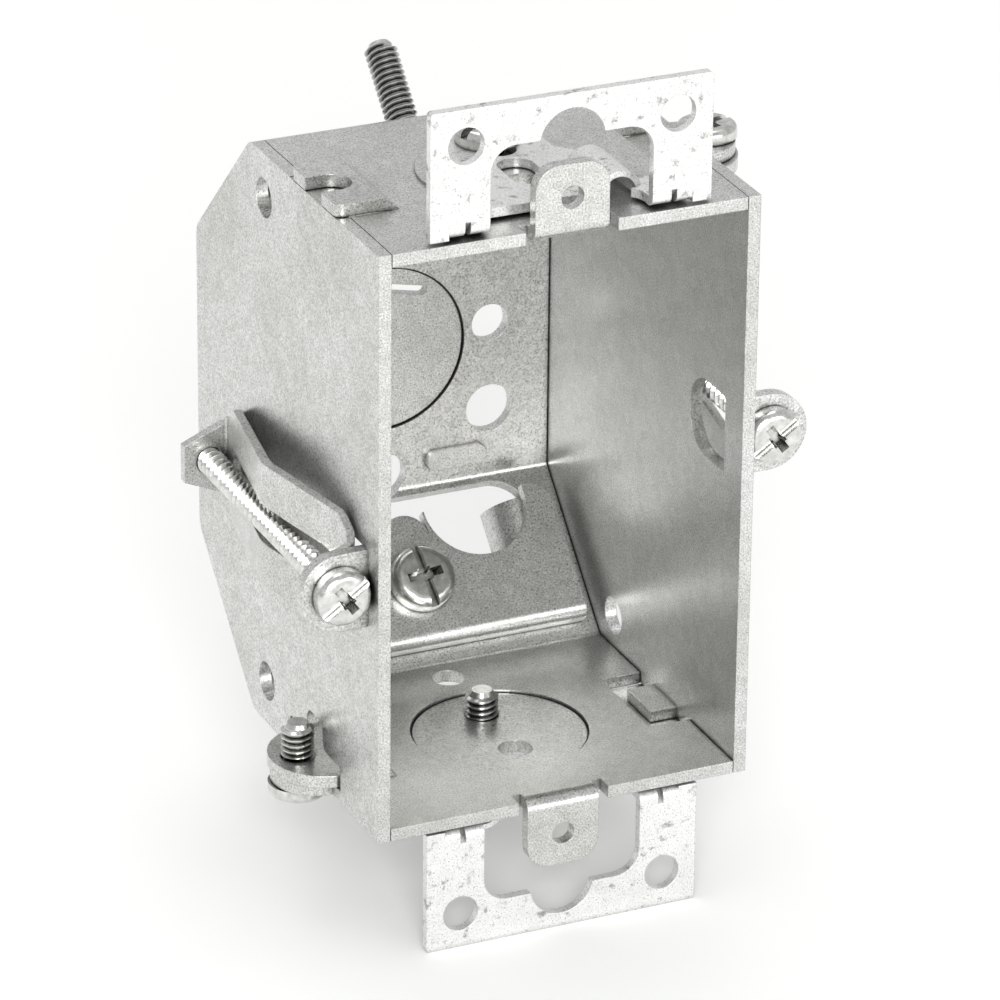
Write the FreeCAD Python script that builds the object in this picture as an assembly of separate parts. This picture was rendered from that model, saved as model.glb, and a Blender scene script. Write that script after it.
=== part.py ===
import FreeCAD, Part
import math
import os

# Gangable pressed-steel device box with bevelled back corners, for fixing in a finished wall.
# Millimetres. The origin is the centre of the front opening: +X right, +Y back into the wall, +Z up.
# The box is the same when it is turned half round about Y, so one of each pair of parts is
# modelled and the other is that part turned.

V = FreeCAD.Vector
X_AXIS = V(1, 0, 0)
Y_AXIS = V(0, 1, 0)
Z_AXIS = V(0, 0, 1)
ZERO = V(0, 0, 0)

# Box
HEIGHT = 76.2
WIDTH = 49.0
DEPTH = 57.15
BEVEL = 17.8
SHEET = 1.6
BEND_R = 2.6
SIDE_GAP = 0.1
LANCE_GAP = 0.15

# Tapped holes and their screws: nominal thread radius, and what the bore stands clear of it
SCREW_6_R = 1.75
SCREW_8_R = 2.08
THREAD_GAP = 0.05
CLEARANCE_GAP = 0.2

# Tabs that the wiring device is screwed to
DEVICE_HOLE_SPACING = 83.3
DEVICE_HOLE_R = 1.45
DEVICE_TAB_W = 9.5
DEVICE_TAB_EDGE = 4.2
DEVICE_TAB_CORNER_R = 3.0
DEVICE_RELIEF_W = 1.2
DEVICE_RELIEF_D = 2.4

# Knockouts
KNOCKOUT_R = 11.1
KNOCKOUT_STEP = 0.35
KNOCKOUT_GROOVE = 0.25
PLATE_KNOCKOUT_Y = 19.0
BACK_KNOCKOUT_Z = 0.0
PRY_SLOT_L = 5.4
PRY_SLOT_W = 1.3
PRY_SLOT_DIST = 7.6

# Row of tapped holes along the middle of the top and bottom, for the ear screws
EAR_HOLE_PITCH = 10.2
EAR_SCREW_Y = 24.5

# Back wall
BACK_ROUND_HOLES = [(14.6, 1.4, 2.5), (14.6, -10.4, 3.2)]
BACK_RIB = (9.8, -16.2)
RIB_L = 8.2
RIB_W = 2.6
RIB_H = 1.0
HALF_HOLE_R = 3.0
HALF_HOLE_DROP = 17.4

# Cable entries in the two bevels
ENTRY_HALF_W = 18.6
ENTRY_LOW = 12.6
ENTRY_HIGH = 23.4
ENTRY_CORNER = 4.6
ENTRY_LIP = 3.2

# Gang joint: a sunk ear with its screw, and the raised lug of the next corner
GANG_Y = 19.6
GANG_HALF_L = 7.0
GANG_ROOT = 17.4
GANG_ROOT_RAMP = 0.9
GANG_RIM = 1.4
GANG_SCREW_OUT = SCREW_8_R + CLEARANCE_GAP
GANG_EAR_OUT = GANG_SCREW_OUT + SCREW_8_R + GANG_RIM
GANG_NOTCH_R = 2.5
GANG_SLACK = 0.3
GANG_WINDOW_SLACK = 1.0
GANG_WINDOW_CORNER_R = 0.8
GANG_SHOULDER = 1.5
ARCH_GAP = 2 * CLEARANCE_GAP
ARCH_CORNER_R = 1.4
ARCH_FOOT_R = 1.2
GANG_HEAD_R = 3.7
GANG_HEAD_H = 1.7
GANG_SCREW_L = 2 * SHEET + 4.7
TONGUE_OUT = GANG_EAR_OUT - CLEARANCE_GAP
TONGUE_HALF_L = 5.6
TAB_HALF_L = 3.4
TAB_IN = 3.6

# Side plates
NAIL_HOLE_R = 2.5
NAIL_HOLE_Y = 35.0
NAIL_HOLE_Z = 32.3
SIDE_EAR_Z = 5.5
SIDE_EAR_Y = 3.2
SIDE_EAR_HALF_W = 5.0
SIDE_SCREW_OUT = 3.6
LANCE_L = 9.6

# Wall clamps on the side plates
CLAMP_T = 1.2
CLAMP_SEAT_GAP = 0.1
CLAMP_HALF_W = 8.0
CLAMP_FRONT_HALF_W = 5.0
CLAMP_REAR_HALF_W = 4.7
CLAMP_TIP_HALF_W = 2.0
CLAMP_END_Y = 45.4
CLAMP_KNEE_Y = 24.8
CLAMP_KNEE_OUT = 3.4
CLAMP_FLANGE_OUT = 7.0
CLAMP_SLOT_HALF_W = 2.5
CLAMP_SLOT_END = 3.0
CLAMP_CORNER_L = 3.6
SIDE_SCREW_L = 43.6
SIDE_HEAD_R = 3.5
SIDE_HEAD_H = 2.2

# Plaster ears
EAR_T = 1.2
EAR_TRAVEL = 3.0
EAR_SET_BACK = CLEARANCE_GAP
EAR_LEG_FRONT = SHEET + EAR_TRAVEL + CLEARANCE_GAP
EAR_FLANGE_HALF_W = 15.6
EAR_DENT_W = 0.7
EAR_LIFT = 0.45
EAR_HALF_W = 18.0
EAR_TALL = 16.0
EAR_CORNER_R = 0.5
EAR_HOLE_R = 2.3
EAR_HOLE_SPACING = 27.0
EAR_HOLE_ROW_SPACING = 100.0
EAR_WINDOW_HALF_W = 10.4
EAR_WINDOW_SIDE = 10.7
EAR_WINDOW_MID = 14.2
EAR_WINDOW_CORNER_R = 2.4
EAR_LOBE_HALF_W = 4.2
EAR_FLANGE_D = 4.0
EAR_LEG_TAIL_HALF_W = 6.6
EAR_SLOT_HALF_L = SCREW_8_R + EAR_TRAVEL + CLEARANCE_GAP
EAR_LEG_END = EAR_SCREW_Y + EAR_SLOT_HALF_L + EAR_T
EAR_FRONT_SLOT = 14.1
EAR_FRONT_SLOT_HALF_L = 4.2
EAR_RIB_X = 8.3
EAR_RIB_R = 2.1
EAR_RIB_END = 14.0
EAR_LEG_HALF_W = EAR_RIB_X + EAR_RIB_R + EAR_T * 0.6 + 0.1
EAR_GUSSET_X = 13.2
EAR_GUSSET = 2.6
EAR_GUSSET_W = 1.4
EAR_HEAD_R = 3.9
EAR_HEAD_H = 2.2
EAR_SCREW_L = 6.4

# Cable clamps
CABLE_CLAMP_T = 1.5
CABLE_CLAMP_OFF = 3.0
CABLE_CLAMP_HALF_W = 21.0
CABLE_CLAMP_LOW = 4.2
CABLE_CLAMP_HIGH = 21.4
CABLE_NOTCH_X = 10.3
CABLE_NOTCH_AT = 20.0
CABLE_NOTCH_R = 7.0
CABLE_TONGUE_HALF_W = 3.1
CABLE_SCREW_AT = 11.0
CABLE_SCREW_L = 19.05
CABLE_HEAD_R = 4.2
CABLE_HEAD_H = 2.7
CABLE_FOOT_GAP = 0.15

# Recess in the screw heads
SLOT_W = 1.0
SLOT_DEPTH = 0.9
CROSS_W = 1.1
CROSS_HALF_L = 2.2
CROSS_DEPTH = 1.3

HALF_H = HEIGHT / 2
HALF_W = WIDTH / 2
FLAT_DEPTH = DEPTH - BEVEL
BACK_HALF_H = HALF_H - BEVEL
BEVEL_L = BEVEL * math.sqrt(2)
STRIP_HALF = HALF_W - SHEET - SIDE_GAP
CUT = 5.0


def box(x0, x1, y0, y1, z0, z1):
    return Part.makeBox(x1 - x0, y1 - y0, z1 - z0, V(x0, y0, z0))


def rod(centre, axis, radius, length):
    """A cylinder with its middle at centre."""
    return Part.makeCylinder(radius, length, centre - axis * (length / 2), axis)


def turned(shape):
    """The shape turned half round about the box's front-to-back axis."""
    copy = shape.copy()
    copy.rotate(ZERO, Y_AXIS, 180)
    return copy


def rounded_wire(points, radii):
    """A closed wire through the points, with an arc of the given radius at each."""
    count = len(points)
    ends = []
    for i, point in enumerate(points):
        to_last = (points[i - 1] - point).normalize()
        to_next = (points[(i + 1) % count] - point).normalize()
        radius = radii[i]
        if radius == 0:
            ends.append((point, None, point))
            continue
        half = to_last.getAngle(to_next) / 2
        back_off = radius / math.tan(half)
        inward = (to_last + to_next).normalize()
        centre = point + inward * (radius / math.sin(half))
        ends.append((point + to_last * back_off, centre - inward * radius, point + to_next * back_off))
    edges = []
    for i, (start, middle, end) in enumerate(ends):
        if middle is not None:
            edges.append(Part.Arc(start, middle, end).toShape())
        following = ends[(i + 1) % count][0]
        if end.distanceToPoint(following) > 1e-6:
            edges.append(Part.LineSegment(end, following).toShape())
    return Part.Wire(edges)


def slab(points, radii, thickness):
    """A flat piece with the given outline, thickened along the given vector."""
    return Part.Face(rounded_wire(points, radii)).extrude(thickness)


def box_outline(inset, x, front):
    """Points of the box's side outline, moved inwards by inset, from the top front round the back."""
    corner = inset * math.tan(math.radians(22.5))
    return [
        V(x, front, HALF_H - inset),
        V(x, FLAT_DEPTH - corner, HALF_H - inset),
        V(x, DEPTH - inset, BACK_HALF_H - corner),
        V(x, DEPTH - inset, -BACK_HALF_H + corner),
        V(x, FLAT_DEPTH - corner, -HALF_H + inset),
        V(x, front, -HALF_H + inset),
    ]


def on_lower_bevel(shape):
    """Moves a shape from flat coordinates (x, along the bevel, inward from its outside) to the bevel."""
    copy = shape.copy()
    copy.rotate(ZERO, X_AXIS, 45)
    copy.translate(V(0, FLAT_DEPTH, -HALF_H))
    return copy


def screw(head_r, head_h, shank_r, length):
    """A pan-head screw that points down Z, with the underside of its head at the origin."""
    head = Part.makeCylinder(head_r, head_h)
    head = head.makeChamfer(head_h * 0.3, [head.Edges[0]])
    tip = shank_r * 0.35
    shank = Part.makeCylinder(shank_r, length - tip, V(0, 0, -(length - tip)))
    point = Part.makeCone(shank_r * 0.7, shank_r, tip, V(0, 0, -length))
    piece = head.fuse(shank).fuse(point).removeSplitter()
    top = head_h
    slot = box(-head_r - 1, head_r + 1, -SLOT_W / 2, SLOT_W / 2, top - SLOT_DEPTH, top + 1)
    cross = box(-CROSS_W / 2, CROSS_W / 2, -CROSS_HALF_L, CROSS_HALF_L, top - CROSS_DEPTH, top + 1)
    centre = box(-CROSS_HALF_L, CROSS_HALF_L, -CROSS_W / 2, CROSS_W / 2, top - CROSS_DEPTH, top + 1)
    return piece.cut(slot).cut(cross).cut(centre)


def knockout(outward, inner_face):
    """Returns what a knockout cuts from the sheet, and the slightly pushed-out disc that it adds."""
    ring = Part.makeCylinder(KNOCKOUT_R, SHEET / 2, inner_face, outward)
    ring = ring.cut(Part.makeCylinder(KNOCKOUT_R - KNOCKOUT_GROOVE, SHEET / 2, inner_face, outward))
    disc_r = KNOCKOUT_R - KNOCKOUT_GROOVE
    disc = Part.makeCylinder(disc_r, SHEET / 2, inner_face + outward * (SHEET / 2 + KNOCKOUT_STEP), outward)
    dish = Part.makeCylinder(disc_r, KNOCKOUT_STEP, inner_face, outward)
    return ring.fuse(dish), disc


def gang_ear():
    """The sunk ear at the lower left corner: ramp and round-ended plate, with its tapped hole."""
    low = -HALF_H
    y0 = GANG_Y - GANG_HALF_L
    y1 = GANG_Y + GANG_HALF_L
    root = -GANG_ROOT
    ramp = slab([
        V(root + GANG_ROOT_RAMP, y0, low),
        V(root + GANG_ROOT_RAMP, y0, low + SHEET),
        V(root - GANG_ROOT_RAMP, y0, low + 2 * SHEET),
        V(root - 2 * GANG_ROOT_RAMP, y0, low + 2 * SHEET),
        V(root - 2 * GANG_ROOT_RAMP, y0, low + SHEET),
        V(root - GANG_ROOT_RAMP, y0, low + SHEET),
    ], [0] * 6, V(0, y1 - y0, 0))
    inner = root - GANG_ROOT_RAMP
    plate_z = low + SHEET
    edges = [
        Part.LineSegment(V(inner, y1, plate_z), V(inner, y0, plate_z)).toShape(),
        Part.LineSegment(V(inner, y0, plate_z), V(-HALF_W, y0, plate_z)).toShape(),
        Part.Arc(V(-HALF_W, y0, plate_z), V(-HALF_W - GANG_EAR_OUT, GANG_Y, plate_z),
                 V(-HALF_W, y1, plate_z)).toShape(),
        Part.LineSegment(V(-HALF_W, y1, plate_z), V(inner, y1, plate_z)).toShape(),
    ]
    plate = Part.Face(Part.Wire(edges)).extrude(V(0, 0, SHEET))
    hole = rod(V(-HALF_W - GANG_SCREW_OUT, GANG_Y, plate_z), Z_AXIS, SCREW_8_R + THREAD_GAP, 4 * SHEET)
    return ramp.fuse(plate).cut(hole)


def gang_lug():
    """The lug at the lower right corner, pushed out by one sheet and notched for the next box's screw."""
    low = -HALF_H
    y0 = GANG_Y - GANG_HALF_L
    y1 = GANG_Y + GANG_HALF_L
    root = GANG_ROOT
    ramp = slab([
        V(root - GANG_ROOT_RAMP, y0, low + SHEET),
        V(root - GANG_ROOT_RAMP, y0, low),
        V(root + GANG_ROOT_RAMP, y0, low - SHEET),
        V(root + 2 * GANG_ROOT_RAMP, y0, low - SHEET),
        V(root + 2 * GANG_ROOT_RAMP, y0, low),
        V(root + GANG_ROOT_RAMP, y0, low),
    ], [0] * 6, V(0, y1 - y0, 0))
    plate = slab([
        V(root + GANG_ROOT_RAMP, y0, low - SHEET),
        V(HALF_W, y0, low - SHEET),
        V(HALF_W, y1, low - SHEET),
        V(root + GANG_ROOT_RAMP, y1, low - SHEET),
    ], [0, 1.2, 1.2, 0], V(0, 0, SHEET))
    notch_x = HALF_W - GANG_SCREW_OUT
    notch = rod(V(notch_x, GANG_Y, low), Z_AXIS, GANG_NOTCH_R, CUT * 2)
    mouth = box(notch_x, HALF_W + 1, GANG_Y - GANG_NOTCH_R, GANG_Y + GANG_NOTCH_R, low - CUT, low + CUT)
    return ramp.fuse(plate).cut(notch).cut(mouth)


def device_tab():
    """The lower device tab, its relief cuts and its hole."""
    half = DEVICE_TAB_W / 2
    end = -DEVICE_HOLE_SPACING / 2 - DEVICE_TAB_EDGE
    tab = slab([
        V(-half, 0, -HALF_H + SHEET),
        V(half, 0, -HALF_H + SHEET),
        V(half, 0, end),
        V(-half, 0, end),
    ], [0, 0, DEVICE_TAB_CORNER_R, DEVICE_TAB_CORNER_R], V(0, SHEET, 0))
    bend = Part.makeCylinder(SHEET, DEVICE_TAB_W, V(-half, SHEET, -HALF_H), X_AXIS)
    corner = box(-half, half, 0, SHEET, -HALF_H, -HALF_H + SHEET)
    tab = tab.cut(corner).fuse(bend.common(corner))
    hole = rod(V(0, 0, -DEVICE_HOLE_SPACING / 2), Y_AXIS, DEVICE_HOLE_R, 4 * SHEET)
    relief = Part.makeCompound([
        box(side * half if side > 0 else -half - DEVICE_RELIEF_W, side * half + DEVICE_RELIEF_W
            if side > 0 else -half, -1, DEVICE_RELIEF_D, -HALF_H - 1, -HALF_H + SHEET + 1)
        for side in (-1, 1)
    ])
    return tab.cut(hole), relief, corner


def cable_entry():
    """The opening in a bevel, in flat coordinates."""
    return slab([
        V(-ENTRY_HALF_W, ENTRY_LOW, -1),
        V(ENTRY_HALF_W, ENTRY_LOW, -1),
        V(ENTRY_HALF_W, ENTRY_HIGH, -1),
        V(-ENTRY_HALF_W, ENTRY_HIGH, -1),
    ], [ENTRY_CORNER, ENTRY_CORNER, ENTRY_CORNER, ENTRY_CORNER], V(0, 0, SHEET + 2))


def entry_lip(side):
    """The quarter-round guide that turns outwards at one end of a cable entry, in flat coordinates."""
    reach = ENTRY_LIP + SHEET
    low = ENTRY_LOW + ENTRY_CORNER * 0.3
    length = ENTRY_HIGH - ENTRY_CORNER * 0.6 - low
    centre = V(side * ENTRY_HALF_W, low, SHEET - reach)
    lip = Part.makeCylinder(reach, length, centre, Y_AXIS)
    lip = lip.cut(Part.makeCylinder(ENTRY_LIP, length, centre, Y_AXIS))
    x0, x1 = sorted((side * ENTRY_HALF_W, side * (ENTRY_HALF_W - reach)))
    return lip.common(box(x0, x1, low, low + length, SHEET - reach, SHEET))


def make_body():
    """The folded strip: top, bevels, back and bottom with everything lanced and punched in it."""
    outer = slab(box_outline(0, -STRIP_HALF, 0), [0] + [BEND_R] * 4 + [0], V(2 * STRIP_HALF, 0, 0))
    inner = slab(box_outline(SHEET, -STRIP_HALF - 1, -1), [0] + [BEND_R - SHEET] * 4 + [0],
                 V(2 * STRIP_HALF + 2, 0, 0))
    body = outer.cut(inner)

    tab, relief, corner = device_tab()
    cuts = [relief, corner]
    adds = [tab, gang_ear(), gang_lug()]

    # The sheet that the ear and the lug are lanced from, sheared clear of their sides
    y0 = GANG_Y - GANG_HALF_L - LANCE_GAP
    y1 = GANG_Y + GANG_HALF_L + LANCE_GAP
    cuts.append(box(-STRIP_HALF - 1, -GANG_ROOT, y0, y1, -HALF_H - 1, -HALF_H + SHEET + 1))
    cuts.append(box(GANG_ROOT, STRIP_HALF + 1, y0, y1, -HALF_H - 1, -HALF_H + SHEET + 1))

    ring, disc = knockout(V(0, 0, -1), V(0, PLATE_KNOCKOUT_Y, -HALF_H + SHEET))
    cuts.append(ring)
    adds.append(disc)
    holes = []
    for step in (-1, 0, 1):
        holes.append(rod(V(0, EAR_SCREW_Y + step * EAR_HOLE_PITCH, -HALF_H), Z_AXIS,
                         SCREW_8_R + THREAD_GAP, 4 * SHEET))

    cuts.append(on_lower_bevel(cable_entry()))
    adds.append(on_lower_bevel(entry_lip(-1)))
    adds.append(on_lower_bevel(entry_lip(1)))
    holes.append(on_lower_bevel(rod(V(0, CABLE_SCREW_AT, 0), Z_AXIS, SCREW_8_R + THREAD_GAP, 4 * SHEET)))

    for piece in cuts:
        body = body.cut(piece).cut(turned(piece))
    for piece in adds:
        body = body.fuse(piece).fuse(turned(piece))
    for piece in holes:
        body = body.cut(piece).cut(turned(piece))

    ring, disc = knockout(Y_AXIS, V(0, DEPTH - SHEET, BACK_KNOCKOUT_Z))
    body = body.cut(ring).fuse(disc)
    pry = slab([
        V(-PRY_SLOT_L / 2, DEPTH - SHEET - 1, -PRY_SLOT_W / 2),
        V(PRY_SLOT_L / 2, DEPTH - SHEET - 1, -PRY_SLOT_W / 2),
        V(PRY_SLOT_L / 2, DEPTH - SHEET - 1, PRY_SLOT_W / 2),
        V(-PRY_SLOT_L / 2, DEPTH - SHEET - 1, PRY_SLOT_W / 2),
    ], [PRY_SLOT_W * 0.45] * 4, V(0, SHEET + 3, 0))
    pry.translate(V(3.4, 0, BACK_KNOCKOUT_Z + PRY_SLOT_DIST))
    pry.rotate(V(3.4, 0, BACK_KNOCKOUT_Z + PRY_SLOT_DIST), Y_AXIS, 12)
    body = body.cut(pry)
    for x, z, radius in BACK_ROUND_HOLES:
        body = body.cut(rod(V(x, DEPTH, z), Y_AXIS, radius, 4 * SHEET))
    half_hole = rod(V(0, DEPTH, -HALF_HOLE_DROP), Y_AXIS, HALF_HOLE_R, 4 * SHEET)
    body = body.cut(half_hole)
    rib_x, rib_z = BACK_RIB
    rib = slab([
        V(rib_x - RIB_L / 2, DEPTH - SHEET - RIB_H, rib_z - RIB_W / 2),
        V(rib_x + RIB_L / 2, DEPTH - SHEET - RIB_H, rib_z - RIB_W / 2),
        V(rib_x + RIB_L / 2, DEPTH - SHEET - RIB_H, rib_z + RIB_W / 2),
        V(rib_x - RIB_L / 2, DEPTH - SHEET - RIB_H, rib_z + RIB_W / 2),
    ], [RIB_W * 0.45] * 4, V(0, RIB_H + SHEET / 2, 0))
    return body.fuse(rib).removeSplitter()


def make_side_plate():
    """The left side plate: its wall-clamp ear, nail holes, and what holds it to the folded strip."""
    x = -HALF_W
    plate = slab(box_outline(0, x, 0), [0] + [BEND_R] * 4 + [0], V(SHEET, 0, 0))

    # Window that the gang ear passes through, arched over the end of its screw so that the plate comes
    # straight off, the bar below it and the forked tongue under the ear
    y0 = GANG_Y - GANG_HALF_L - GANG_WINDOW_SLACK
    y1 = GANG_Y + GANG_HALF_L + GANG_WINDOW_SLACK
    bar_top = -HALF_H + SHEET - SIDE_GAP
    shoulder = -HALF_H + 2 * SHEET + GANG_SHOULDER
    arch_half = SCREW_8_R + ARCH_GAP
    arch_top = -HALF_H - SIDE_GAP + GANG_SCREW_L + ARCH_GAP
    corner = GANG_WINDOW_CORNER_R
    window = slab([
        V(x - 1, y0, bar_top),
        V(x - 1, y0, shoulder),
        V(x - 1, GANG_Y - arch_half, shoulder),
        V(x - 1, GANG_Y - arch_half, arch_top),
        V(x - 1, GANG_Y + arch_half, arch_top),
        V(x - 1, GANG_Y + arch_half, shoulder),
        V(x - 1, y1, shoulder),
        V(x - 1, y1, bar_top),
    ], [0, corner, ARCH_FOOT_R, ARCH_CORNER_R, ARCH_CORNER_R, ARCH_FOOT_R, corner, 0], V(SHEET + 2, 0, 0))
    edges = [
        Part.LineSegment(V(x + SHEET / 2, GANG_Y + TONGUE_HALF_L, -HALF_H),
                         V(x + SHEET / 2, GANG_Y - TONGUE_HALF_L, -HALF_H)).toShape(),
        Part.LineSegment(V(x + SHEET / 2, GANG_Y - TONGUE_HALF_L, -HALF_H),
                         V(x, GANG_Y - TONGUE_HALF_L, -HALF_H)).toShape(),
        Part.Arc(V(x, GANG_Y - TONGUE_HALF_L, -HALF_H), V(x - TONGUE_OUT, GANG_Y, -HALF_H),
                 V(x, GANG_Y + TONGUE_HALF_L, -HALF_H)).toShape(),
        Part.LineSegment(V(x, GANG_Y + TONGUE_HALF_L, -HALF_H),
                         V(x + SHEET / 2, GANG_Y + TONGUE_HALF_L, -HALF_H)).toShape(),
    ]
    tongue = Part.Face(Part.Wire(edges)).extrude(V(0, 0, SHEET - SIDE_GAP))
    slot_r = SCREW_8_R + CLEARANCE_GAP
    slot_x = x - GANG_SCREW_OUT
    slot = rod(V(slot_x, GANG_Y, -HALF_H), Z_AXIS, slot_r, 2 * CUT).common(
        box(slot_x - CUT, slot_x + CUT, 0, DEPTH, -HALF_H - 1, bar_top + 0.5))
    slot_mouth = box(slot_x, x + SHEET + 1, GANG_Y - slot_r, GANG_Y + slot_r, -HALF_H - 1, bar_top + 0.5)
    plate = plate.cut(window).fuse(tongue).cut(slot).cut(slot_mouth)

    # Tab at the other end that slides under the raised lug
    tab = box(x + SHEET / 2, x + SHEET + TAB_IN, GANG_Y - TAB_HALF_L, GANG_Y + TAB_HALF_L,
              HALF_H - SHEET, HALF_H - SIDE_GAP)
    plate = plate.fuse(tab)
    seat = box(x - 1, x + SHEET, GANG_Y - GANG_HALF_L - GANG_SLACK, GANG_Y + GANG_HALF_L + GANG_SLACK,
               HALF_H - SIDE_GAP, HALF_H + 1)
    plate = plate.cut(seat)

    # Ear lanced from the plate and bent square outwards for the long screw
    ear_z = -SIDE_EAR_Z
    half = SIDE_EAR_HALF_W
    ear_end = x - SIDE_SCREW_OUT
    hole_y = SIDE_EAR_Y + SHEET
    lance = slab([
        V(x - 1, hole_y, ear_z - half),
        V(x - 1, hole_y + LANCE_L, ear_z - half),
        V(x - 1, hole_y + LANCE_L, ear_z + half),
        V(x - 1, hole_y, ear_z + half),
    ], [0, half * 0.9, half * 0.9, 0], V(SHEET + 2, 0, 0))
    edges = [
        Part.LineSegment(V(ear_end, SIDE_EAR_Y, ear_z + half), V(x + SHEET / 2, SIDE_EAR_Y, ear_z + half)).toShape(),
        Part.LineSegment(V(x + SHEET / 2, SIDE_EAR_Y, ear_z + half),
                         V(x + SHEET / 2, SIDE_EAR_Y, ear_z - half)).toShape(),
        Part.LineSegment(V(x + SHEET / 2, SIDE_EAR_Y, ear_z - half), V(ear_end, SIDE_EAR_Y, ear_z - half)).toShape(),
        Part.Arc(V(ear_end, SIDE_EAR_Y, ear_z - half), V(ear_end - half, SIDE_EAR_Y, ear_z),
                 V(ear_end, SIDE_EAR_Y, ear_z + half)).toShape(),
    ]
    ear = Part.Face(Part.Wire(edges)).extrude(V(0, SHEET, 0))
    plate = plate.cut(lance).fuse(ear)
    plate = plate.cut(rod(V(ear_end, SIDE_EAR_Y, ear_z), Y_AXIS, SCREW_6_R + CLEARANCE_GAP, 4 * SHEET))

    for z in (-NAIL_HOLE_Z, NAIL_HOLE_Z):
        plate = plate.cut(rod(V(x, NAIL_HOLE_Y, z), X_AXIS, NAIL_HOLE_R, 4 * SHEET))
    return plate.removeSplitter()


def make_side_clamp():
    """The left wall clamp: one strip with a flange at each end, kneed outwards at its middle."""
    face = -HALF_W - CLAMP_SEAT_GAP
    z = -SIDE_EAR_Z
    front = SIDE_EAR_Y + SHEET + CLAMP_SEAT_GAP
    tip = -HALF_W - CLAMP_FLANGE_OUT
    profile = slab([
        V(tip, front, z - CLAMP_HALF_W),
        V(face, front, z - CLAMP_HALF_W),
        V(face - CLAMP_KNEE_OUT, CLAMP_KNEE_Y, z - CLAMP_HALF_W),
        V(face, CLAMP_END_Y, z - CLAMP_HALF_W),
        V(tip, CLAMP_END_Y, z - CLAMP_HALF_W),
        V(tip, CLAMP_END_Y - CLAMP_T, z - CLAMP_HALF_W),
        V(face - CLAMP_T, CLAMP_END_Y - CLAMP_T, z - CLAMP_HALF_W),
        V(face - CLAMP_KNEE_OUT - CLAMP_T, CLAMP_KNEE_Y, z - CLAMP_HALF_W),
        V(face - CLAMP_T, front + CLAMP_T, z - CLAMP_HALF_W),
        V(tip, front + CLAMP_T, z - CLAMP_HALF_W),
    ], [0, 1.6, 6.0, 1.6, 0, 0, 0.4, 7.2, 0.4, 0], V(0, 0, 2 * CLAMP_HALF_W))
    side = slab([
        V(tip - 1, front, z - CLAMP_FRONT_HALF_W),
        V(tip - 1, front + CLAMP_CORNER_L, z - CLAMP_HALF_W),
        V(tip - 1, CLAMP_END_Y - CLAMP_CORNER_L - CLAMP_T, z - CLAMP_HALF_W),
        V(tip - 1, CLAMP_END_Y, z - CLAMP_REAR_HALF_W),
        V(tip - 1, CLAMP_END_Y, z + CLAMP_REAR_HALF_W),
        V(tip - 1, CLAMP_END_Y - CLAMP_CORNER_L - CLAMP_T, z + CLAMP_HALF_W),
        V(tip - 1, front + CLAMP_CORNER_L, z + CLAMP_HALF_W),
        V(tip - 1, front, z + CLAMP_FRONT_HALF_W),
    ], [0, 2, 1, 0, 0, 1, 2, 0], V(20, 0, 0))
    clamp = profile.common(side)
    root = face - CLAMP_T - 0.4
    for y0, y1, half in ((front, front + CLAMP_T, CLAMP_FRONT_HALF_W),
                         (CLAMP_END_Y - CLAMP_T, CLAMP_END_Y, CLAMP_REAR_HALF_W)):
        flange = box(tip - 1, root, y0 - 0.1, y1 + 0.1, z - CLAMP_HALF_W, z + CLAMP_HALF_W)
        taper = slab([
            V(root, y0 - 0.1, z - half),
            V(tip - 1, y0 - 0.1, z - CLAMP_TIP_HALF_W),
            V(tip - 1, y0 - 0.1, z + CLAMP_TIP_HALF_W),
            V(root, y0 - 0.1, z + half),
        ], [0] * 4, V(0, y1 - y0 + 0.2, 0))
        clamp = clamp.cut(flange.cut(taper))
    slot = slab([
        V(tip - 1, front + CLAMP_T + CLAMP_SLOT_END, z - CLAMP_SLOT_HALF_W),
        V(tip - 1, CLAMP_END_Y - CLAMP_T - CLAMP_SLOT_END, z - CLAMP_SLOT_HALF_W),
        V(tip - 1, CLAMP_END_Y - CLAMP_T - CLAMP_SLOT_END, z + CLAMP_SLOT_HALF_W),
        V(tip - 1, front + CLAMP_T + CLAMP_SLOT_END, z + CLAMP_SLOT_HALF_W),
    ], [CLAMP_SLOT_HALF_W * 0.9] * 4, V(20, 0, 0))
    clamp = clamp.cut(slot)
    axis_x = -HALF_W - SIDE_SCREW_OUT
    clamp = clamp.cut(rod(V(axis_x, front, z), Y_AXIS, SCREW_6_R + CLEARANCE_GAP, 4 * CLAMP_T))
    clamp = clamp.cut(rod(V(axis_x, CLAMP_END_Y, z), Y_AXIS, SCREW_6_R + THREAD_GAP, 4 * CLAMP_T))
    return clamp.removeSplitter()


def make_side_screw():
    """The long screw of the left wall clamp, its head against the side plate's ear."""
    piece = screw(SIDE_HEAD_R, SIDE_HEAD_H, SCREW_6_R, SIDE_SCREW_L)
    piece.rotate(ZERO, Z_AXIS, 35)
    piece.rotate(ZERO, X_AXIS, 90)
    piece.translate(V(-HALF_W - SIDE_SCREW_OUT, SIDE_EAR_Y - SIDE_GAP, -SIDE_EAR_Z))
    return piece


def make_gang_screw():
    """The gang screw at the lower left: head below the side plate's tongue, end above the ear."""
    piece = screw(GANG_HEAD_R, GANG_HEAD_H, SCREW_8_R, GANG_SCREW_L)
    piece.rotate(ZERO, X_AXIS, 180)
    piece.translate(V(-HALF_W - GANG_SCREW_OUT, GANG_Y, -HALF_H - SIDE_GAP))
    return piece


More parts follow.
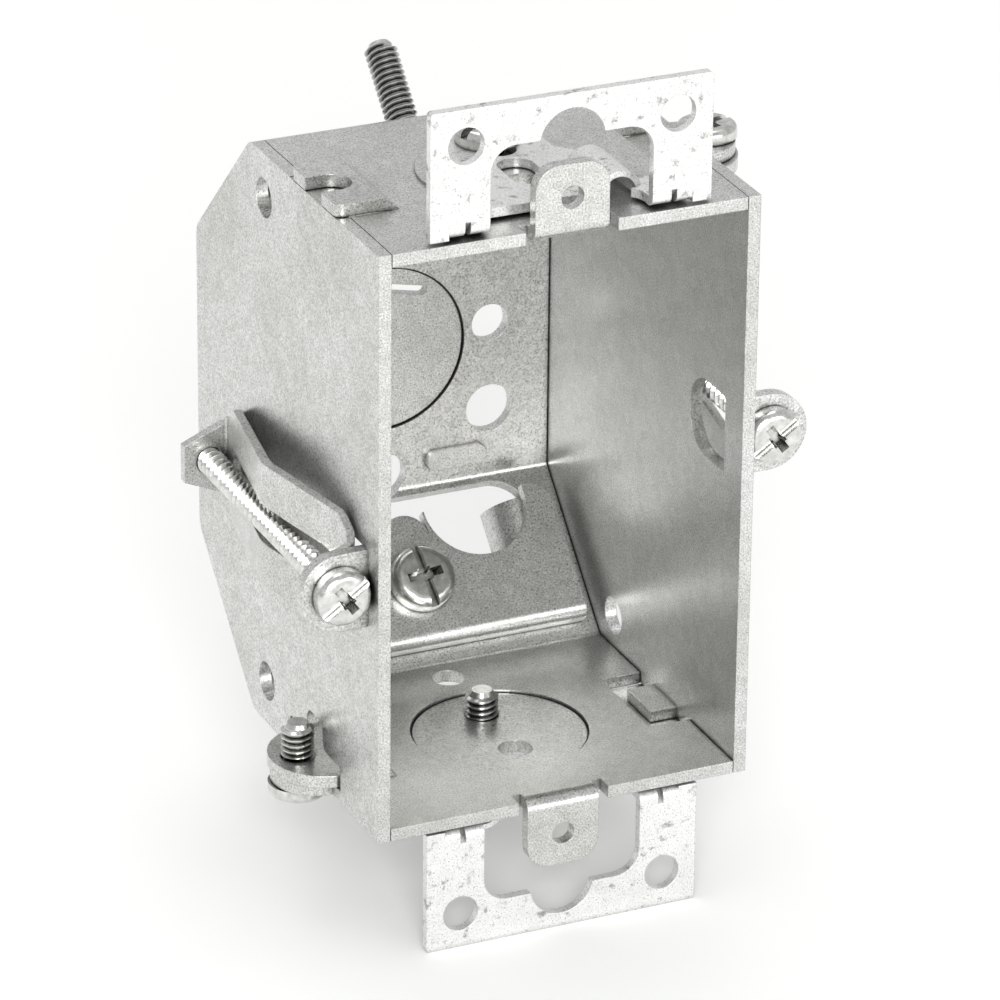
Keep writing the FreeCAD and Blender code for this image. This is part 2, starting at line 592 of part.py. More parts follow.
def make_plaster_ear():
    """The upper plaster ear: a windowed plate with a slotted leg that lies on the box."""
    low = HALF_H + EAR_LIFT
    front = EAR_SET_BACK
    high = low + EAR_TALL
    plate = slab([
        V(-EAR_HALF_W, front, low),
        V(-EAR_HALF_W, front, high),
        V(EAR_HALF_W, front, high),
        V(EAR_HALF_W, front, low),
    ], [0, EAR_CORNER_R, EAR_CORNER_R, 0], V(0, EAR_T, 0))
    root = front + EAR_FLANGE_D
    flange = EAR_FLANGE_HALF_W
    wide = EAR_LEG_HALF_W
    tail = EAR_LEG_TAIL_HALF_W
    narrow = root + flange - wide
    shoulder = EAR_RIB_END + EAR_T
    leg = slab([
        V(-flange, front, low),
        V(flange, front, low),
        V(flange, root, low),
        V(wide, narrow, low),
        V(wide, shoulder, low),
        V(tail, shoulder + wide - tail, low),
        V(tail, EAR_LEG_END, low),
        V(-tail, EAR_LEG_END, low),
        V(-tail, shoulder + wide - tail, low),
        V(-wide, shoulder, low),
        V(-wide, narrow, low),
        V(-flange, root, low),
    ], [0, 0, 1.0, 2.0, 2.0, 2.0, tail * 0.95, tail * 0.95, 2.0, 2.0, 2.0, 1.0], V(0, 0, EAR_T))
    ear = plate.fuse(leg)

    # Outside of the bend
    bend_box = box(-flange, flange, front, front + EAR_T, low, low + EAR_T)
    bend = Part.makeCylinder(EAR_T, 2 * flange, V(-flange, front + EAR_T, low + EAR_T), X_AXIS)
    ear = ear.cut(bend_box.cut(bend))

    # Scalloped window, which runs through the bend and into the leg to leave the device tab its room
    side_top = low + EAR_WINDOW_SIDE
    window = slab([
        V(-EAR_WINDOW_HALF_W, front - 1, low - 1),
        V(-EAR_WINDOW_HALF_W, front - 1, side_top),
        V(EAR_WINDOW_HALF_W, front - 1, side_top),
        V(EAR_WINDOW_HALF_W, front - 1, low - 1),
    ], [0, 3.2, 3.2, 0], V(0, EAR_T + 2, 0))
    leg_front = EAR_LEG_FRONT
    window = window.fuse(slab([
        V(-EAR_WINDOW_HALF_W, front - 1, low - 1),
        V(EAR_WINDOW_HALF_W, front - 1, low - 1),
        V(EAR_WINDOW_HALF_W, leg_front, low - 1),
        V(-EAR_WINDOW_HALF_W, leg_front, low - 1),
    ], [0, 0, EAR_WINDOW_CORNER_R, EAR_WINDOW_CORNER_R], V(0, 0, EAR_T + 1)))
    lobe_z = low + EAR_WINDOW_MID - EAR_LOBE_HALF_W
    lobe = rod(V(0, front + EAR_T / 2, lobe_z), Y_AXIS, EAR_LOBE_HALF_W, EAR_T + 2)
    ear = ear.cut(window).cut(lobe)

    # Two slots in the leg: the rear one takes the ear screw
    slot_r = SCREW_8_R + CLEARANCE_GAP
    for centre, half in ((EAR_FRONT_SLOT, EAR_FRONT_SLOT_HALF_L), (EAR_SCREW_Y, EAR_SLOT_HALF_L)):
        ear = ear.cut(slab([
            V(-slot_r, centre - half, low - 1),
            V(slot_r, centre - half, low - 1),
            V(slot_r, centre + half, low - 1),
            V(-slot_r, centre + half, low - 1),
        ], [slot_r * 0.95] * 4, V(0, 0, EAR_T + 2)))

    # Hollow stiffening rib pressed up in the leg, open at the bend
    rib_z = low + EAR_T - EAR_RIB_R * 0.35
    rib_l = EAR_RIB_END - leg_front
    rib = Part.makeCylinder(EAR_RIB_R + EAR_T * 0.6, rib_l, V(EAR_RIB_X, leg_front, rib_z), Y_AXIS)
    rib = rib.common(box(0, EAR_HALF_W, leg_front, EAR_RIB_END, low, high))
    hollow = Part.makeCylinder(EAR_RIB_R, rib_l - EAR_T, V(EAR_RIB_X, leg_front - 0.5, rib_z), Y_AXIS)
    hollow = hollow.common(box(0, EAR_HALF_W, leg_front - 1, EAR_RIB_END, low - 1, high))
    ear = ear.fuse(rib).cut(hollow)

    # Gussets pressed across the bend, and the fixing holes above them
    for side in (-1, 1):
        gusset = slab([
            V(side * EAR_GUSSET_X - EAR_GUSSET_W / 2, front + EAR_T, low + EAR_T),
            V(side * EAR_GUSSET_X - EAR_GUSSET_W / 2, front + EAR_T + EAR_GUSSET, low + EAR_T),
            V(side * EAR_GUSSET_X - EAR_GUSSET_W / 2, front + EAR_T, low + EAR_T + EAR_GUSSET),
        ], [0] * 3, V(EAR_GUSSET_W, 0, 0))
        dent = slab([
            V(side * EAR_GUSSET_X - EAR_DENT_W / 2, front - 0.1, low - 0.1),
            V(side * EAR_GUSSET_X - EAR_DENT_W / 2, front + EAR_GUSSET * 0.8, low - 0.1),
            V(side * EAR_GUSSET_X - EAR_DENT_W / 2, front - 0.1, low + EAR_GUSSET * 0.8),
        ], [0] * 3, V(EAR_DENT_W, 0, 0))
        hole = rod(V(side * EAR_HOLE_SPACING / 2, front, EAR_HOLE_ROW_SPACING / 2), Y_AXIS,
                   EAR_HOLE_R, 4 * EAR_T)
        ear = ear.fuse(gusset).cut(dent).cut(hole)
    return ear.removeSplitter()


def make_ear_screw():
    """The upper ear screw: head on the ear's leg, end inside the box."""
    piece = screw(EAR_HEAD_R, EAR_HEAD_H, SCREW_8_R, EAR_SCREW_L)
    piece.rotate(ZERO, Z_AXIS, 20)
    piece.translate(V(0, EAR_SCREW_Y, HALF_H + EAR_LIFT + EAR_T + THREAD_GAP))
    return piece


def make_cable_clamp():
    """The lower cable clamp, in flat coordinates: scalloped plate with a foot along its front edge."""
    low = CABLE_CLAMP_OFF
    top = low + CABLE_CLAMP_T
    foot_face = SHEET + CABLE_FOOT_GAP
    half = CABLE_CLAMP_HALF_W
    front = CABLE_CLAMP_LOW
    section = slab([
        V(-half, front - CABLE_CLAMP_T, foot_face),
        V(-half, front, foot_face),
        V(-half, front, low),
        V(-half, CABLE_CLAMP_HIGH, low),
        V(-half, CABLE_CLAMP_HIGH, top),
        V(-half, front - CABLE_CLAMP_T, top),
    ], [0, 0, 0.2, 0, 0, CABLE_CLAMP_T * 0.95], V(2 * half, 0, 0))
    outline = slab([
        V(-half, 0, 0),
        V(half, 0, 0),
        V(half, CABLE_CLAMP_HIGH, 0),
        V(-half, CABLE_CLAMP_HIGH, 0),
    ], [0, 0, 3.4, 3.4], V(0, 0, top + 1))
    clamp = section.common(outline)
    for side in (-1, 1):
        clamp = clamp.cut(rod(V(side * CABLE_NOTCH_X, CABLE_NOTCH_AT, low), Z_AXIS, CABLE_NOTCH_R, 4 * SHEET))
        inner = side * CABLE_TONGUE_HALF_W
        outer = side * (CABLE_NOTCH_X + CABLE_NOTCH_R)
        clamp = clamp.cut(box(min(inner, outer), max(inner, outer), CABLE_NOTCH_AT, CABLE_CLAMP_HIGH + 1,
                              0, top + 1))
    tongue_box = box(-CABLE_TONGUE_HALF_W, CABLE_TONGUE_HALF_W, CABLE_NOTCH_AT - CABLE_TONGUE_HALF_W,
                     CABLE_CLAMP_HIGH + 1, 0, top + 1)
    round_end = rod(V(0, CABLE_NOTCH_AT - CABLE_TONGUE_HALF_W, low), Z_AXIS, CABLE_TONGUE_HALF_W, 4 * SHEET)
    clamp = clamp.cut(tongue_box.cut(round_end))
    clamp = clamp.cut(rod(V(0, CABLE_SCREW_AT, low), Z_AXIS, SCREW_8_R + CLEARANCE_GAP, 4 * SHEET))
    return on_lower_bevel(clamp.removeSplitter())


def make_cable_screw():
    """The lower cable clamp's screw: head on the clamp, thread through the bevel."""
    piece = screw(CABLE_HEAD_R, CABLE_HEAD_H, SCREW_8_R, CABLE_SCREW_L)
    piece.translate(V(0, CABLE_SCREW_AT, CABLE_CLAMP_OFF + CABLE_CLAMP_T + THREAD_GAP))
    return on_lower_bevel(piece)


os.makedirs("parts", exist_ok=True)

pairs = [
    ("side_plate_left", "side_plate_right", make_side_plate()),
    ("side_clamp_left", "side_clamp_right", make_side_clamp()),
    ("side_clamp_screw_left", "side_clamp_screw_right", make_side_screw()),
    ("gang_screw_lower", "gang_screw_upper", make_gang_screw()),
    ("plaster_ear_top", "plaster_ear_bottom", make_plaster_ear()),
    ("ear_screw_top", "ear_screw_bottom", make_ear_screw()),
    ("cable_clamp_lower", "cable_clamp_upper", make_cable_clamp()),
    ("cable_clamp_screw_lower", "cable_clamp_screw_upper", make_cable_screw()),
]
nodes = {"box_body": make_body()}
for first, second, shape in pairs:
    nodes[first] = shape
    nodes[second] = turned(shape)
for name, shape in nodes.items():
    print(name, len(shape.Solids), "solid", round(shape.Volume, 1), "mm3", shape.isValid())
    shape.exportStep("parts/" + name + ".step")
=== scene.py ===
import bpy
import math
from mathutils import Matrix, Vector


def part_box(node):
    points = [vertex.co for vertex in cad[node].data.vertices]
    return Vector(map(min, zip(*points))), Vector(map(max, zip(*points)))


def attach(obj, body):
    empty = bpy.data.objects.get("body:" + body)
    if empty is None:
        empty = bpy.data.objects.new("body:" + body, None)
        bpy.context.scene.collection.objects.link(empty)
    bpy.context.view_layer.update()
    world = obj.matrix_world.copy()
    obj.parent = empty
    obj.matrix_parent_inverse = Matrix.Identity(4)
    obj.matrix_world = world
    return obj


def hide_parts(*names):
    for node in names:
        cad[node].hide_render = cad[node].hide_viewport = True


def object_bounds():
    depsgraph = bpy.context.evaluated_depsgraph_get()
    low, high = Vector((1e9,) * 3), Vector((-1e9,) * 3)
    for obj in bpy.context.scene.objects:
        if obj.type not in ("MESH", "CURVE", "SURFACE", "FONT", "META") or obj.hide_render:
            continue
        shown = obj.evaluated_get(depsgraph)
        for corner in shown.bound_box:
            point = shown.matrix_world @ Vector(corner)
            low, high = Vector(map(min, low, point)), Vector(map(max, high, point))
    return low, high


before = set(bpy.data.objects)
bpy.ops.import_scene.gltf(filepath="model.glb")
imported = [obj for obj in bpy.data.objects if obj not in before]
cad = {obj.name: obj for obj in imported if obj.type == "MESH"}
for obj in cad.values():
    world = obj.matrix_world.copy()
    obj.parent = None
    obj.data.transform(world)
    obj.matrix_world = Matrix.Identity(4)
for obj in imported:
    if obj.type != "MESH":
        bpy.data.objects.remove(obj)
cad_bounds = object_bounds()
MM = 0.001
bpy.ops.object.select_all(action="DESELECT")


# Camera, to the left of the box and above it, with a long lens as in a catalogue picture.
# Its place and lens were solved from the box's corners and its knockout edges.
AZIMUTH = math.radians(25.08)
ELEVATION = math.radians(25.04)
ROLL = math.radians(0.88)
DISTANCE = 764.6 * MM
SENSOR = 36.0
FOCAL_PIXELS = 6434.2
PICTURE = 1000
SHIFT_ACROSS = -0.0681
SHIFT_UP = 0.0223

back = Vector((-math.sin(AZIMUTH) * math.cos(ELEVATION),
               -math.cos(AZIMUTH) * math.cos(ELEVATION),
               math.sin(ELEVATION)))
right = Vector((math.cos(AZIMUTH), -math.sin(AZIMUTH), 0))
up = back.cross(right)
across = right * math.cos(ROLL) + up * math.sin(ROLL)
upright = up * math.cos(ROLL) - right * math.sin(ROLL)
aim = Matrix((across, upright, back)).transposed().to_4x4()
bpy.ops.object.camera_add()
camera = bpy.context.object
camera.matrix_world = Matrix.Translation(back * DISTANCE) @ aim
camera.data.sensor_width = SENSOR
camera.data.lens = FOCAL_PIXELS / PICTURE * SENSOR
camera.data.shift_x = SHIFT_ACROSS
camera.data.shift_y = SHIFT_UP
camera.data.clip_start = 0.01
bpy.context.scene.camera = camera


# Folded strip: steel sheet, galvanized at the mill, then punched, lanced and bent round the top,
# back and bottom of the box.
def linear(code):
    """An sRGB hex value as the linear colour that a shader takes."""
    parts = [int(code[i:i + 2], 16) / 255 for i in (1, 3, 5)]
    return tuple(c / 12.92 if c <= 0.04045 else ((c + 0.055) / 1.055) ** 2.4 for c in parts) + (1.0,)


def add_node(material, kind, values=None, links=None, **settings):
    """Adds a node with its settings, socket values and links, and returns it."""
    node = material.node_tree.nodes.new(kind)
    for key, value in settings.items():
        setattr(node, key, value)
    for key, value in (values or {}).items():
        node.inputs[key].default_value = value
    for key, source in (links or {}).items():
        material.node_tree.links.new(source, node.inputs[key])
    return node


def set_ramp(node, stops):
    """Gives a ramp its stops, as (place, hex colour)."""
    ramp = node.color_ramp
    while len(ramp.elements) < len(stops):
        ramp.elements.new(0.5)
    for element, (place, code) in zip(ramp.elements, stops):
        element.position = place
        element.color = linear(code)


GRAIN_MM = 0.22
SPECKLE_MM = 1.1
CLOUD_MM = 16.0
CREASE_SHADE_MM = 1.1
EDGE_ROUND_MM = 0.18
RELIEF_MM = 0.02

# Galvanized steel from the mill: zinc crystals too small to see give a fine speckle and soft
# mirror images, and handling leaves clouds. Creases, gaps and hole rims are darkened with painted
# shade. The speckle is drawn coarser than it is, so that it shows.
galvanized = bpy.data.materials.new("galvanized_steel_sheet")
galvanized.use_nodes = True
shader = galvanized.node_tree.nodes["Principled BSDF"]
here = add_node(galvanized, "ShaderNodeTexCoord").outputs["Object"]
grain = add_node(galvanized, "ShaderNodeTexNoise",
                 {"Scale": 1 / (GRAIN_MM * MM), "Detail": 3.0, "Roughness": 0.6},
                 {"Vector": here})
speckle = add_node(galvanized, "ShaderNodeTexVoronoi",
                   {"Scale": 1 / (SPECKLE_MM * MM)}, {"Vector": here})
cloud = add_node(galvanized, "ShaderNodeTexNoise",
                 {"Scale": 1 / (CLOUD_MM * MM), "Detail": 4.0, "Roughness": 0.55},
                 {"Vector": here})
grain_tone = add_node(galvanized, "ShaderNodeValToRGB", links={"Fac": grain.outputs["Fac"]})
set_ramp(grain_tone, [(0.32, "#a9a9a8"), (0.5, "#dcdcdb"), (0.66, "#f8f8f7")])
cell = add_node(galvanized, "ShaderNodeRGBToBW", links={"Color": speckle.outputs["Color"]})
cell_tone = add_node(galvanized, "ShaderNodeValToRGB", links={"Fac": cell.outputs["Val"]})
set_ramp(cell_tone, [(0.0, "#ebebea"), (1.0, "#ffffff")])
cloud_tone = add_node(galvanized, "ShaderNodeValToRGB", links={"Fac": cloud.outputs["Fac"]})
set_ramp(cloud_tone, [(0.3, "#e8e8e6"), (0.7, "#ffffff")])
with_cells = add_node(galvanized, "ShaderNodeMixRGB", {"Fac": 1.0},
                      {"Color1": grain_tone.outputs["Color"], "Color2": cell_tone.outputs["Color"]},
                      blend_type="MULTIPLY")
with_clouds = add_node(galvanized, "ShaderNodeMixRGB", {"Fac": 1.0},
                       {"Color1": with_cells.outputs["Color"], "Color2": cloud_tone.outputs["Color"]},
                       blend_type="MULTIPLY")
# Painted shade: occlusion darkens the colour in creases, gaps between parts and hole rims.
crease_shade = add_node(galvanized, "ShaderNodeAmbientOcclusion", {"Distance": CREASE_SHADE_MM * MM}, samples=6)
crease_shade_tone = add_node(galvanized, "ShaderNodeValToRGB", links={"Fac": crease_shade.outputs["AO"]})
set_ramp(crease_shade_tone, [(0.3, "#5c5b59"), (0.8, "#ffffff")])
with_crease_shade = add_node(galvanized, "ShaderNodeMixRGB", {"Fac": 1.0},
                        {"Color1": with_clouds.outputs["Color"], "Color2": crease_shade_tone.outputs["Color"]},
                        blend_type="MULTIPLY")
dullness = add_node(galvanized, "ShaderNodeMapRange",
                    {"From Min": 0.3, "From Max": 0.7, "To Min": 0.26, "To Max": 0.36},
                    {"Value": grain.outputs["Fac"]})
rounded = add_node(galvanized, "ShaderNodeBevel", {"Radius": EDGE_ROUND_MM * MM}, samples=4)
relief = add_node(galvanized, "ShaderNodeBump", {"Strength": 0.25, "Distance": RELIEF_MM * MM},
                  {"Height": grain.outputs["Fac"], "Normal": rounded.outputs["Normal"]})
shader.inputs["Metallic"].default_value = 0.88
galvanized.node_tree.links.new(with_crease_shade.outputs["Color"], shader.inputs["Base Color"])
galvanized.node_tree.links.new(dullness.outputs["Result"], shader.inputs["Roughness"])
galvanized.node_tree.links.new(relief.outputs["Normal"], shader.inputs["Normal"])


def finish_node(name, material):
    """Gives a node of the box its finish."""
    slots = cad[name].data.materials
    slots.clear()
    slots.append(material)


finish_node("box_body", galvanized)


# Side plates: the two loose walls, blanked from the same sheet, each with one ear bent out
# at its front edge for the wall clamp's screw.
for side in ("left", "right"):
    finish_node("side_plate_" + side, galvanized)


# Wall clamps: a slotted strip of thinner sheet on each side plate, bent at its ends and kneed
# at its middle, where it folds out behind the wallboard.
for side in ("left", "right"):
    finish_node("side_clamp_" + side, galvanized)


# Plaster ears: pressed from thinner sheet, with a scalloped window, a rib and two gussets, and
# dipped in zinc only after that.
SPOT_MM = 1.7

# Hot-dipped steel: the same zinc, frozen as it ran, with small dull spots. Its whole colour is also
# raised brighter as painted light on the front-facing ears.
dipped = galvanized.copy()
dipped.name = "hot_dipped_sheet_painted_bright"
shader = dipped.node_tree.nodes["Principled BSDF"]
here = add_node(dipped, "ShaderNodeTexCoord").outputs["Object"]
spots = add_node(dipped, "ShaderNodeTexNoise",
                 {"Scale": 1 / (SPOT_MM * MM), "Detail": 5.0, "Roughness": 0.72},
                 {"Vector": here})
spot_tone = add_node(dipped, "ShaderNodeValToRGB", links={"Fac": spots.outputs["Fac"]})
set_ramp(spot_tone, [(0.33, "#a9a8a6"), (0.44, "#ffffff")])
# Painted light: the gamma lifts the sheet's whole colour brighter.
painted_bright_base = add_node(dipped, "ShaderNodeGamma", {"Gamma": 0.45},
                     {"Color": shader.inputs["Base Color"].links[0].from_socket})
spotted = add_node(dipped, "ShaderNodeMixRGB", {"Fac": 1.0},
                   {"Color1": painted_bright_base.outputs["Color"], "Color2": spot_tone.outputs["Color"]},
                   blend_type="MULTIPLY")
dipped.node_tree.links.new(spotted.outputs["Color"], shader.inputs["Base Color"])
shader.inputs["Metallic"].default_value = 0.7
for level in ("top", "bottom"):
    finish_node("plaster_ear_" + level, dipped)


# Cable clamps: scalloped plates of heavier sheet, each with one bent foot, that press the cables
# onto the bevels.
for level in ("lower", "upper"):
    finish_node("cable_clamp_" + level, galvanized)


# Screws: cold-headed carbon steel with rolled threads and bright zinc plate. Their pan heads take
# a flat or a cross-point driver.
FINE_PITCH = 25.4 / 32 * MM
COARSE_PITCH = 25.4 / 20 * MM
SHANK_R = 2.08 * MM
HEAD_SIDES = 64
CROWN_SHARE = 0.5
CROWN_STEPS = 7
RECESS_DEEP = 1.5 * MM
RECESS_FLOOR = 0.4 * MM
SLOT_WIDE = 1.1 * MM
SLOT_SHARE = 0.7
CROSS_WIDE = 1.25 * MM
CROSS_SHARE = 1.25
SOCKET_WIDE = 1.9 * MM
THREAD_STEPS = 28
THREAD_DEEP = 0.29 * MM
DEEP_SHARE = 0.25
FOOT_SHARE = 0.42
CREST_SHARE = 0.07
FOOT_SUNK = 0.05 * MM
THREAD_START = 0.35 * MM
THREAD_END = 0.75 * MM
BARE_SHARE = 0.4
TIP_LONG = 0.5 * MM
TIP_SHARE = 0.8
SMOOTH_UNDER = math.radians(32)
HAZE_MM = 1.1
ROOT_SHADE_MM = 0.8

# Zinc plate, bright dipped: a smooth cool silver, a little cloudy, with the faint rub of the tray.
# Thread valleys and driver recesses are darkened with painted shade.
zinc = bpy.data.materials.new("bright_zinc_plate")
zinc.use_nodes = True
shader = zinc.node_tree.nodes["Principled BSDF"]
here = add_node(zinc, "ShaderNodeTexCoord").outputs["Object"]
haze = add_node(zinc, "ShaderNodeTexNoise",
                {"Scale": 1 / (HAZE_MM * MM), "Detail": 4.0, "Roughness": 0.6},
                {"Vector": here})
haze_tone = add_node(zinc, "ShaderNodeValToRGB", links={"Fac": haze.outputs["Fac"]})
set_ramp(haze_tone, [(0.35, "#c2c2bf"), (0.65, "#e4e4e1")])
rub = add_node(zinc, "ShaderNodeMapRange",
               {"From Min": 0.3, "From Max": 0.7, "To Min": 0.16, "To Max": 0.28},
               {"Value": haze.outputs["Fac"]})
# Painted shade: occlusion darkens the colour in thread valleys and driver recesses.
root_shade = add_node(zinc, "ShaderNodeAmbientOcclusion", {"Distance": ROOT_SHADE_MM * MM}, samples=6)
root_shade_tone = add_node(zinc, "ShaderNodeValToRGB", links={"Fac": root_shade.outputs["AO"]})
set_ramp(root_shade_tone, [(0.42, "#2c2c2a"), (0.86, "#ffffff")])
with_root_shade = add_node(zinc, "ShaderNodeMixRGB", {"Fac": 1.0},
                      {"Color1": haze_tone.outputs["Color"], "Color2": root_shade_tone.outputs["Color"]},
                      blend_type="MULTIPLY")
shader.inputs["Metallic"].default_value = 1.0
zinc.node_tree.links.new(with_root_shade.outputs["Color"], shader.inputs["Base Color"])
zinc.node_tree.links.new(rub.outputs["Result"], shader.inputs["Roughness"])


def settle(piece):
    """Puts a piece's place into its mesh."""
    bpy.ops.object.select_all(action="DESELECT")
    piece.select_set(True)
    bpy.context.view_layer.objects.active = piece
    bpy.ops.object.transform_apply(location=True, rotation=True, scale=True)


def use_modifier(piece, kind, **settings):
    """Adds a modifier with its settings and applies it."""
    bpy.ops.object.select_all(action="DESELECT")
    piece.select_set(True)
    bpy.context.view_layer.objects.active = piece
    modifier = piece.modifiers.new(kind.title(), kind)
    for key, value in settings.items():
        setattr(modifier, key, value)
    bpy.ops.object.modifier_apply(modifier=modifier.name)


def select_edges(piece, test):
    """Goes into edit mode with only the edges that pass the test selected."""
    bpy.context.view_layer.objects.active = piece
    bpy.ops.object.mode_set(mode="EDIT")
    bpy.ops.mesh.select_mode(type="EDGE")
    bpy.ops.mesh.select_all(action="DESELECT")
    bpy.ops.object.mode_set(mode="OBJECT")
    points = piece.data.vertices
    for edge in piece.data.edges:
        edge.select = test(points[edge.vertices[0]].co, points[edge.vertices[1]].co)
    bpy.ops.object.mode_set(mode="EDIT")


def cut_recess(head, width, length, top, depth, narrow):
    """Presses one bar of the recess into a head, a little narrower at its bottom."""
    proud = 0.5 * MM
    bpy.ops.mesh.primitive_cube_add(size=1, location=(0, 0, top - depth / 2 + proud / 2))
    bar = bpy.context.object
    bar.scale = (length, width, depth + proud)
    settle(bar)
    low = min(point.co.z for point in bar.data.vertices)
    for point in bar.data.vertices:
        if point.co.z < low + 0.01 * MM:
            point.co.x *= narrow
            point.co.y *= narrow
    use_modifier(head, "BOOLEAN", operation="DIFFERENCE", object=bar, solver="EXACT")
    bpy.data.objects.remove(bar)


def make_screw(name, head_r, head_h, shank_r, length, pitch=FINE_PITCH):
    """A machine screw that points down Z, with the underside of its head at the origin."""
    bpy.ops.object.select_all(action="DESELECT")
    bpy.ops.mesh.primitive_cylinder_add(vertices=HEAD_SIDES, radius=head_r, depth=head_h,
                                        location=(0, 0, head_h / 2))
    head = bpy.context.object
    settle(head)
    select_edges(head, lambda a, b: a.z > head_h * 0.9 and b.z > head_h * 0.9)
    bpy.ops.mesh.bevel(offset=head_h * CROWN_SHARE, segments=CROWN_STEPS, affect="EDGES", profile=0.55)
    bpy.ops.object.mode_set(mode="OBJECT")
    deep = min(RECESS_DEEP, head_h - RECESS_FLOOR)
    cut_recess(head, SLOT_WIDE, 2 * head_r + 2 * MM, head_h, deep * SLOT_SHARE, narrow=1.0)
    cut_recess(head, head_r * CROSS_SHARE, CROSS_WIDE, head_h, deep, narrow=0.62)
    cut_recess(head, SOCKET_WIDE, SOCKET_WIDE, head_h, deep, narrow=0.7)
    bpy.ops.object.select_all(action="DESELECT")

    core_r = shank_r - THREAD_DEEP - DEEP_SHARE * pitch
    bpy.ops.mesh.primitive_cone_add(vertices=THREAD_STEPS, radius1=core_r * TIP_SHARE, radius2=core_r,
                                    depth=TIP_LONG, location=(0, 0, -length + TIP_LONG / 2))
    tip = bpy.context.object
    settle(tip)
    bpy.ops.mesh.primitive_cylinder_add(vertices=THREAD_STEPS, radius=core_r, depth=length - TIP_LONG,
                                        location=(0, 0, -(length - TIP_LONG) / 2))
    core = bpy.context.object
    settle(core)

    # Rolled thread: one ridge, wound up the core and closed at both ends
    bare = THREAD_START + THREAD_END + BARE_SHARE * (pitch - FINE_PITCH)
    turns = int((length - bare) / pitch)
    ridge = bpy.data.meshes.new(name + "_thread")
    half = pitch * FOOT_SHARE
    crest = pitch * CREST_SHARE
    sunk_r = core_r - FOOT_SUNK
    profile = [(sunk_r, 0, -half), (shank_r, 0, -crest), (shank_r, 0, crest), (sunk_r, 0, half)]
    ridge.from_pydata(profile, [(0, 1), (1, 2), (2, 3), (3, 0)], [])
    thread = bpy.data.objects.new(name + "_thread", ridge)
    bpy.context.scene.collection.objects.link(thread)
    use_modifier(thread, "SCREW", axis="Z", angle=math.tau, screw_offset=pitch, iterations=turns,
                 steps=THREAD_STEPS, render_steps=THREAD_STEPS, use_merge_vertices=False)
    bpy.ops.object.mode_set(mode="EDIT")
    bpy.ops.mesh.select_all(action="SELECT")
    bpy.ops.mesh.fill_holes(sides=0)
    bpy.ops.mesh.normals_make_consistent(inside=False)
    bpy.ops.object.mode_set(mode="OBJECT")
    thread.location = (0, 0, -length + THREAD_START + half)
    settle(thread)

    bpy.ops.object.select_all(action="DESELECT")
    for piece in (tip, core, thread, head):
        piece.select_set(True)
    bpy.context.view_layer.objects.active = head
    bpy.ops.object.join()
    screw = bpy.context.object
    screw.name = name
    screw.data.name = name
    bpy.ops.object.shade_smooth_by_angle(angle=SMOOTH_UNDER)
    screw.data.materials.clear()
    screw.data.materials.append(zinc)
    return screw


def drive_in(screw, turn, tilt, at):
    """Turns a screw on its own axis, tilts it about X and puts it in its hole."""
    leant = Matrix.Rotation(math.radians(tilt), 4, "X")
    turned = Matrix.Rotation(math.radians(turn), 4, "Z")
    screw.matrix_world = Matrix.Translation(Vector(at)) @ leant @ turned
    settle(screw)


def fit(screw, node, body):
    """Lets a screw stand for the node's plain one, on the node's body."""
    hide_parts(node)
    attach(screw, body)


# Long screws of the wall clamps, with a coarse thread of 20 to the inch that draws the clamp up fast:
# head before the side plate's ear, end in the clamp's rear flange.
SIDE_HEAD_R = 3.5 * MM
SIDE_HEAD_H = 2.2 * MM
SIDE_SHANK_R = 1.75 * MM
SIDE_TURN = 35
for side in ("left", "right"):
    node = "side_clamp_screw_" + side
    low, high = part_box(node)
    length = high.y - low.y - SIDE_HEAD_H
    screw = make_screw("wall_clamp_screw_" + side, SIDE_HEAD_R, SIDE_HEAD_H, SIDE_SHANK_R, length,
                       COARSE_PITCH)
    drive_in(screw, SIDE_TURN, 90, ((low.x + high.x) / 2, low.y + SIDE_HEAD_H, (low.z + high.z) / 2))
    fit(screw, node, "side_screw_" + side)


# Gang screws, 8-32, one at the lower left and one at the upper right. Each clamps a side plate's
# forked tongue to the folded strip's tapped ear.
GANG_HEAD_R = 3.7 * MM
GANG_HEAD_H = 1.7 * MM
GANG_TURN = 15
for level in ("lower", "upper"):
    node = "gang_screw_" + level
    low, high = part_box(node)
    head_up = level == "upper"
    length = high.z - low.z - GANG_HEAD_H
    screw = make_screw("gang_joint_screw_" + level, GANG_HEAD_R, GANG_HEAD_H, SHANK_R, length)
    under = high.z - GANG_HEAD_H if head_up else low.z + GANG_HEAD_H
    tilt = 0 if head_up else 180
    drive_in(screw, GANG_TURN, tilt, ((low.x + high.x) / 2, (low.y + high.y) / 2, under))
    fit(screw, node, node)


# Ear screws, 8-32: short ones through the slotted leg of each plaster ear, tapped into the top
# and bottom of the strip.
EAR_HEAD_R = 3.9 * MM
EAR_HEAD_H = 2.2 * MM
EAR_TURN = 20
for level in ("top", "bottom"):
    node = "ear_screw_" + level
    low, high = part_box(node)
    head_up = level == "top"
    length = high.z - low.z - EAR_HEAD_H
    screw = make_screw("plaster_ear_screw_" + level, EAR_HEAD_R, EAR_HEAD_H, SHANK_R, length)
    under = high.z - EAR_HEAD_H if head_up else low.z + EAR_HEAD_H
    tilt = 0 if head_up else 180
    drive_in(screw, EAR_TURN, tilt, ((low.x + high.x) / 2, (low.y + high.y) / 2, under))
    fit(screw, node, "ear_screw_" + level)


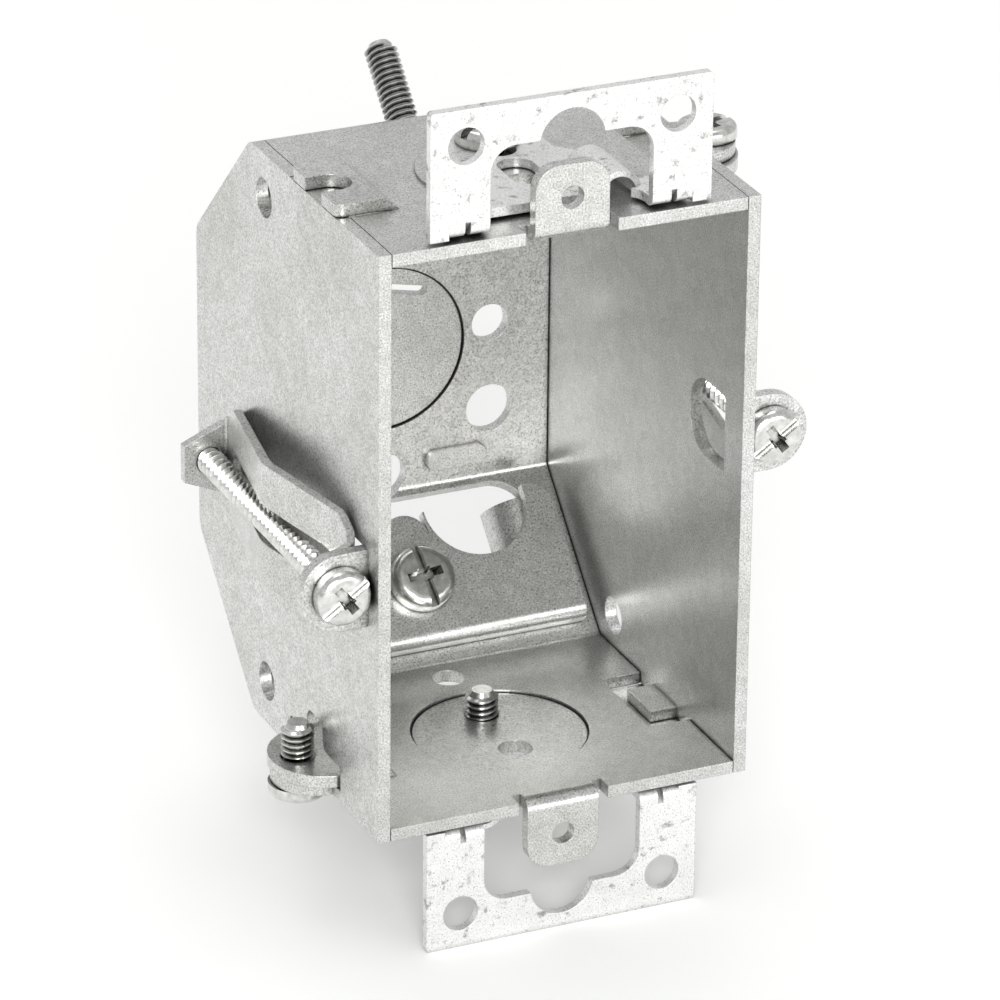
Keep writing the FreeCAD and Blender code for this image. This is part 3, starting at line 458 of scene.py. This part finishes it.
# Cable clamp screws, 8-32: long ones, square to the bevels, that draw the clamps down on the cables.
# Their heads seat on the clamps, and their ends stand out behind the box.
CABLE_HEAD_R = 4.2 * MM
CABLE_HEAD_H = 2.7 * MM
CABLE_SCREW_L = 19.05 * MM
CABLE_TURN = 95
SEAT_Y = 43.911 * MM
SEAT_Z = 27.105 * MM
for level, tilt, seat_z in (("lower", 45, -SEAT_Z), ("upper", 135, SEAT_Z)):
    screw = make_screw("cable_screw_" + level, CABLE_HEAD_R, CABLE_HEAD_H, SHANK_R, CABLE_SCREW_L)
    drive_in(screw, CABLE_TURN, tilt, (0, SEAT_Y, seat_z))
    fit(screw, "cable_clamp_screw_" + level, "cable_screw_" + level)


# Studio: a pale matt table in an even white surround, with three soft boxes: the key behind the
# camera, a wide fill low in front and a weaker one overhead.
floor_z = min(cad_bounds[0][2], cad_bounds[1][2])
bpy.ops.object.select_all(action="DESELECT")
bpy.ops.mesh.primitive_plane_add(size=8, location=(0, 0, floor_z))
table = bpy.context.object
table.name = "table"
settle(table)
paper = bpy.data.materials.new("matt_white_paper")
paper.use_nodes = True
paper.node_tree.nodes["Principled BSDF"].inputs["Base Color"].default_value = linear("#fbfbfa")
paper.node_tree.nodes["Principled BSDF"].inputs["Roughness"].default_value = 0.9
table.data.materials.append(paper)


def soft_box(name, place, size, power):
    """A square soft light that faces the box."""
    bpy.ops.object.light_add(type="AREA", location=place)
    light = bpy.context.object
    light.name = name
    light.rotation_euler = (-Vector(place)).to_track_quat("-Z", "Y").to_euler()
    light.data.size = size
    light.data.energy = power


soft_box("key", (-0.5, -1.2, 0.6), size=0.6, power=13)
soft_box("fill", (0.35, -1.3, 0.1), size=0.9, power=7)
soft_box("top", (0.1, 0.5, 1.4), size=1.0, power=5)
world = bpy.data.worlds.new("studio")
bpy.context.scene.world = world
world.use_nodes = True
world.node_tree.nodes["Background"].inputs["Color"].default_value = linear("#ffffff")
world.node_tree.nodes["Background"].inputs["Strength"].default_value = 0.68
bpy.context.scene.view_settings.view_transform = "Standard"
